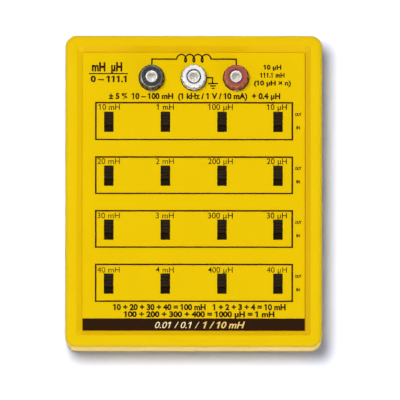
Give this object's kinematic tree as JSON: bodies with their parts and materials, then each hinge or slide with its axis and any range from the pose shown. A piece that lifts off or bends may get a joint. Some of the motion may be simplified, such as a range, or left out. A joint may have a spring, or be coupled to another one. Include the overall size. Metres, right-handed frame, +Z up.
{
  "type": "inductance decade box",
  "caption": "Flat yellow two-shell case with a raised rim, rows of slide switches that add inductance, and three binding posts along the far edge.",
  "frame": {"origin": "middle of the footprint on the surface that the box stands on", "axes": "+Z up out of the panel, +Y towards the binding posts, +X to the right as the panel is read"},
  "size_m": [0.13, 0.158, 0.0571],
  "materials": {
    "case_plastic": "moulded satin yellow with a fine texture",
    "panel_print": "printed yellow film with dark print",
    "rubber": "matte moulded",
    "screw_steel": "zinc plated",
    "laminate_green": "solder-masked glass laminate",
    "sheet_aluminium": "mill finish sheet",
    "switch_steel": "tinned steel",
    "laminate_brown": "paper laminate",
    "tinned_metal": "tinned",
    "ferrite": "sintered matte",
    "copper_wire": "enamelled winding wire",
    "choke_resin": "dipped resin",
    "black_plastic": "glossy moulded",
    "white_plastic": "glossy moulded",
    "red_plastic": "glossy moulded",
    "slider_plastic": "moulded, worn satin",
    "plated_brass": "nickel plated",
    "spring_bronze": "rolled spring strip",
    "wire_insulation": "extruded sleeve"
  },
  "bodies": {
    "root": {"upper_case": "case_plastic", "lower_case": "case_plastic", "front_label": "panel_print", "rubber_feet": "rubber", "case_screws": "screw_steel", "circuit_board": "laminate_green", "board_screws": "screw_steel", "screen_plate": "sheet_aluminium", "switch_frames": "switch_steel", "switch_bases": "laminate_brown", "switch_terminals": "tinned_metal", "choke_cores": "ferrite", "choke_windings": "copper_wire", "axial_chokes": "choke_resin", "component_leads": "tinned_metal", "post_flanges": "black_plastic", "post_studs": "plated_brass", "post_bushes": "black_plastic", "post_nuts": "plated_brass", "solder_lugs": "tinned_metal", "hookup_wires": "wire_insulation"},
    "slider_10mh": {"slider_10mh": "slider_plastic", "clips_10mh": "spring_bronze"},
    "slider_20mh": {"slider_20mh": "slider_plastic", "clips_20mh": "spring_bronze"},
    "slider_30mh": {"slider_30mh": "slider_plastic", "clips_30mh": "spring_bronze"},
    "slider_40mh": {"slider_40mh": "slider_plastic", "clips_40mh": "spring_bronze"},
    "slider_1mh": {"slider_1mh": "slider_plastic", "clips_1mh": "spring_bronze"},
    "slider_2mh": {"slider_2mh": "slider_plastic", "clips_2mh": "spring_bronze"},
    "slider_3mh": {"slider_3mh": "slider_plastic", "clips_3mh": "spring_bronze"},
    "slider_4mh": {"slider_4mh": "slider_plastic", "clips_4mh": "spring_bronze"},
    "slider_100uh": {"slider_100uh": "slider_plastic", "clips_100uh": "spring_bronze"},
    "slider_200uh": {"slider_200uh": "slider_plastic", "clips_200uh": "spring_bronze"},
    "slider_300uh": {"slider_300uh": "slider_plastic", "clips_300uh": "spring_bronze"},
    "slider_400uh": {"slider_400uh": "slider_plastic", "clips_400uh": "spring_bronze"},
    "slider_10uh": {"slider_10uh": "slider_plastic", "clips_10uh": "spring_bronze"},
    "slider_20uh": {"slider_20uh": "slider_plastic", "clips_20uh": "spring_bronze"},
    "slider_30uh": {"slider_30uh": "slider_plastic", "clips_30uh": "spring_bronze"},
    "slider_40uh": {"slider_40uh": "slider_plastic", "clips_40uh": "spring_bronze"},
    "black_clamp": {"black_clamp": "plated_brass"},
    "black_cap": {"black_cap": "black_plastic"},
    "white_clamp": {"white_clamp": "plated_brass"},
    "white_cap": {"white_cap": "white_plastic"},
    "red_clamp": {"red_clamp": "plated_brass"},
    "red_cap": {"red_cap": "red_plastic"}
  },
  "joints": [
    {"name": "slide_10mh", "type": "slide", "parent": "root", "child": "slider_10mh", "axis": [0, -1, 0], "range_m": [0, 0.0034]},
    {"name": "slide_20mh", "type": "slide", "parent": "root", "child": "slider_20mh", "axis": [0, -1, 0], "range_m": [0, 0.0034]},
    {"name": "slide_30mh", "type": "slide", "parent": "root", "child": "slider_30mh", "axis": [0, -1, 0], "range_m": [0, 0.0034]},
    {"name": "slide_40mh", "type": "slide", "parent": "root", "child": "slider_40mh", "axis": [0, -1, 0], "range_m": [0, 0.0034]},
    {"name": "slide_1mh", "type": "slide", "parent": "root", "child": "slider_1mh", "axis": [0, -1, 0], "range_m": [0, 0.0034]},
    {"name": "slide_2mh", "type": "slide", "parent": "root", "child": "slider_2mh", "axis": [0, -1, 0], "range_m": [0, 0.0034]},
    {"name": "slide_3mh", "type": "slide", "parent": "root", "child": "slider_3mh", "axis": [0, -1, 0], "range_m": [0, 0.0034]},
    {"name": "slide_4mh", "type": "slide", "parent": "root", "child": "slider_4mh", "axis": [0, -1, 0], "range_m": [0, 0.0034]},
    {"name": "slide_100uh", "type": "slide", "parent": "root", "child": "slider_100uh", "axis": [0, -1, 0], "range_m": [0, 0.0034]},
    {"name": "slide_200uh", "type": "slide", "parent": "root", "child": "slider_200uh", "axis": [0, -1, 0], "range_m": [0, 0.0034]},
    {"name": "slide_300uh", "type": "slide", "parent": "root", "child": "slider_300uh", "axis": [0, -1, 0], "range_m": [0, 0.0034]},
    {"name": "slide_400uh", "type": "slide", "parent": "root", "child": "slider_400uh", "axis": [0, -1, 0], "range_m": [0, 0.0034]},
    {"name": "slide_10uh", "type": "slide", "parent": "root", "child": "slider_10uh", "axis": [0, -1, 0], "range_m": [0, 0.0034]},
    {"name": "slide_20uh", "type": "slide", "parent": "root", "child": "slider_20uh", "axis": [0, -1, 0], "range_m": [0, 0.0034]},
    {"name": "slide_30uh", "type": "slide", "parent": "root", "child": "slider_30uh", "axis": [0, -1, 0], "range_m": [0, 0.0034]},
    {"name": "slide_40uh", "type": "slide", "parent": "root", "child": "slider_40uh", "axis": [0, -1, 0], "range_m": [0, 0.0034]},
    {"name": "black_clamp_rise", "type": "slide", "parent": "root", "child": "black_clamp", "axis": [0, 0, 1], "range_m": [0, 0.005]},
    {"name": "black_cap_turn", "type": "hinge", "parent": "black_clamp", "child": "black_cap", "pos_m": [-0.02135, 0.0575, 0.0568], "axis": [0, 0, 1], "range_deg": [0, 1800]},
    {"name": "white_clamp_rise", "type": "slide", "parent": "root", "child": "white_clamp", "axis": [0, 0, 1], "range_m": [0, 0.005]},
    {"name": "white_cap_turn", "type": "hinge", "parent": "white_clamp", "child": "white_cap", "pos_m": [0, 0.0575, 0.0568], "axis": [0, 0, 1], "range_deg": [0, 1800]},
    {"name": "red_clamp_rise", "type": "slide", "parent": "root", "child": "red_clamp", "axis": [0, 0, 1], "range_m": [0, 0.005]},
    {"name": "red_cap_turn", "type": "hinge", "parent": "red_clamp", "child": "red_cap", "pos_m": [0.02135, 0.0575, 0.0568], "axis": [0, 0, 1], "range_deg": [0, 1800]}
  ],
  "couplings": [
    {"joint": "black_cap_turn", "follows": "black_clamp_rise", "rad_per_m": 6283.2},
    {"joint": "white_cap_turn", "follows": "white_clamp_rise", "rad_per_m": 6283.2},
    {"joint": "red_cap_turn", "follows": "red_clamp_rise", "rad_per_m": 6283.2}
  ]
}
